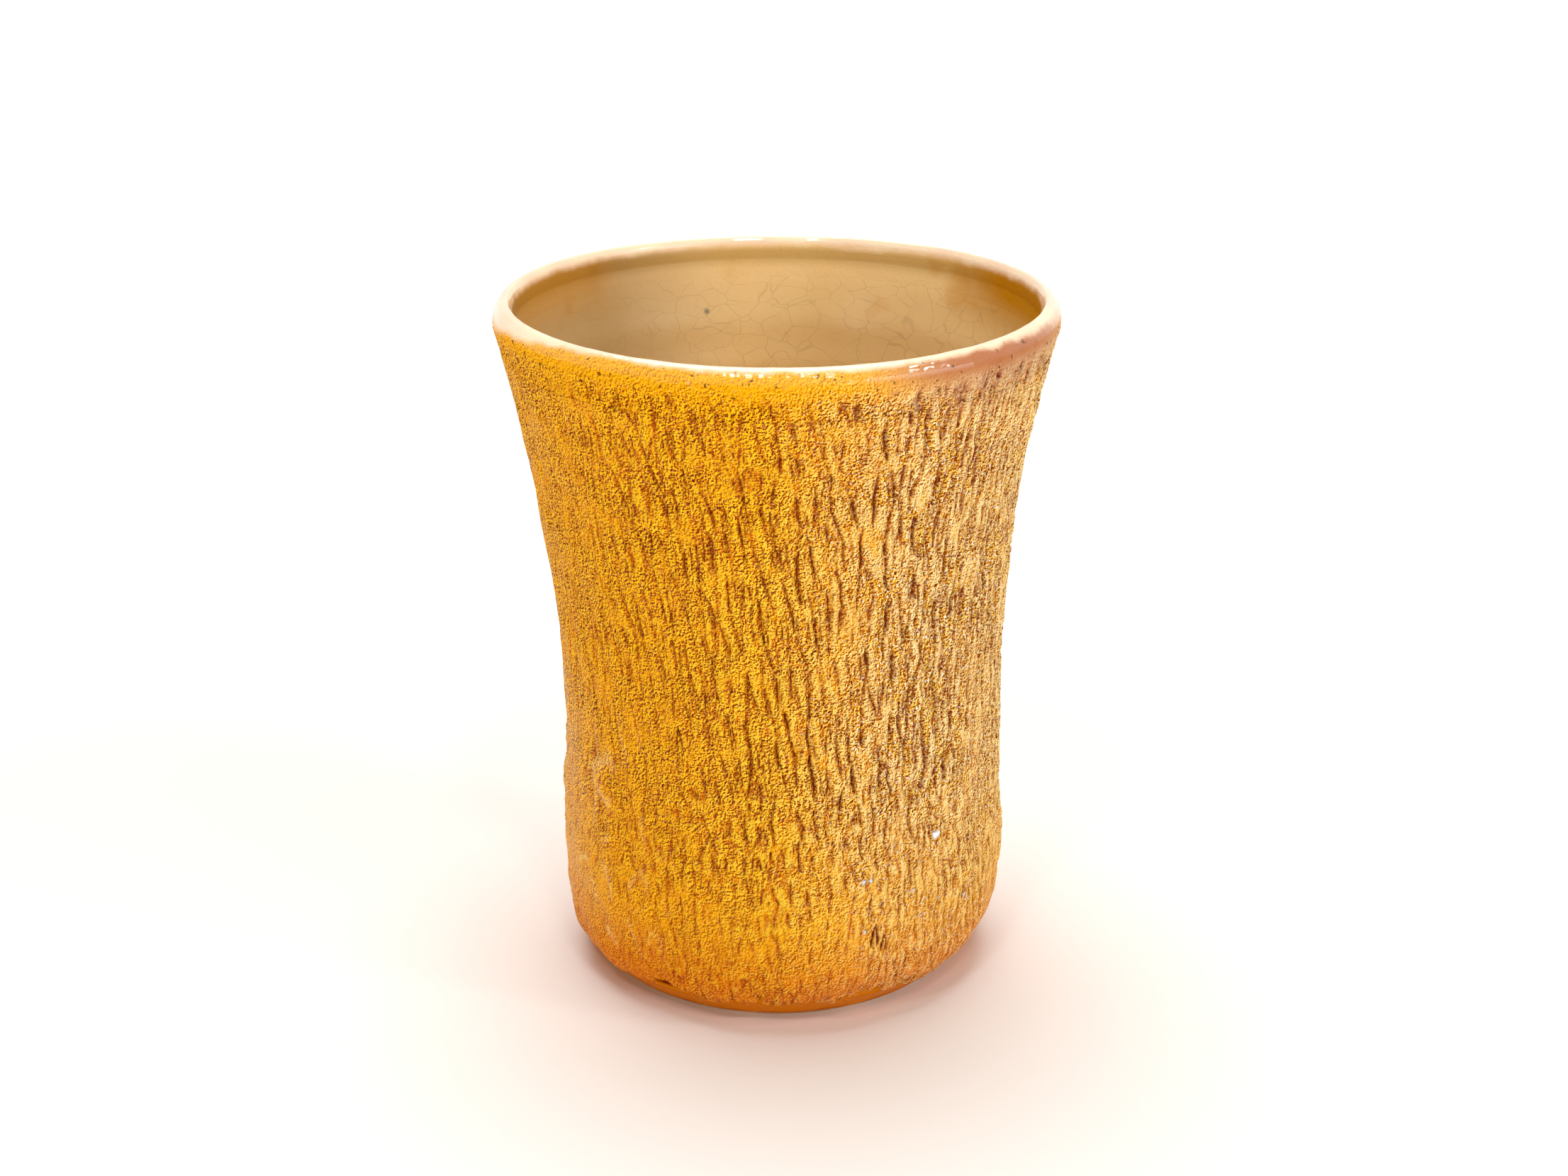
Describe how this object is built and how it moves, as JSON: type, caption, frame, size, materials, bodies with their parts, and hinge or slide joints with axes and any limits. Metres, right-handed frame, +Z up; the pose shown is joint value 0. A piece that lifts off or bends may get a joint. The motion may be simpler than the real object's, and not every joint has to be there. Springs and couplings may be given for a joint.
{
  "type": "wine cup",
  "caption": "Handleless thrown stoneware wine cup with a flared lip, a bark-textured ochre wall, a crackled pale liner glaze and a narrow undercut foot.",
  "frame": {"origin": "on the cup's axis, at the table under the foot", "axes": "+Z up along the cup's axis; the side seen in the picture faces -Y"},
  "size_m": [0.08, 0.08, 0.101],
  "materials": {
    "bare_clay": "unglazed fired stoneware, toasted brown",
    "ochre_coat": "torn, grainy ochre slip under a salt glaze, with dark specks and satin gloss",
    "lip_glaze": "smooth glossy glaze, golden outside and peach on the crest",
    "liner_glaze": "smooth glossy beige glaze with fine crackle and amber pools",
    "foot_glaze": "smooth glossy amber glaze"
  },
  "bodies": {
    "root": {"clay_body": "bare_clay", "wall_coat": "ochre_coat", "lip_glaze": "lip_glaze", "liner_glaze": "liner_glaze", "foot_glaze": "foot_glaze"}
  },
  "joints": []
}
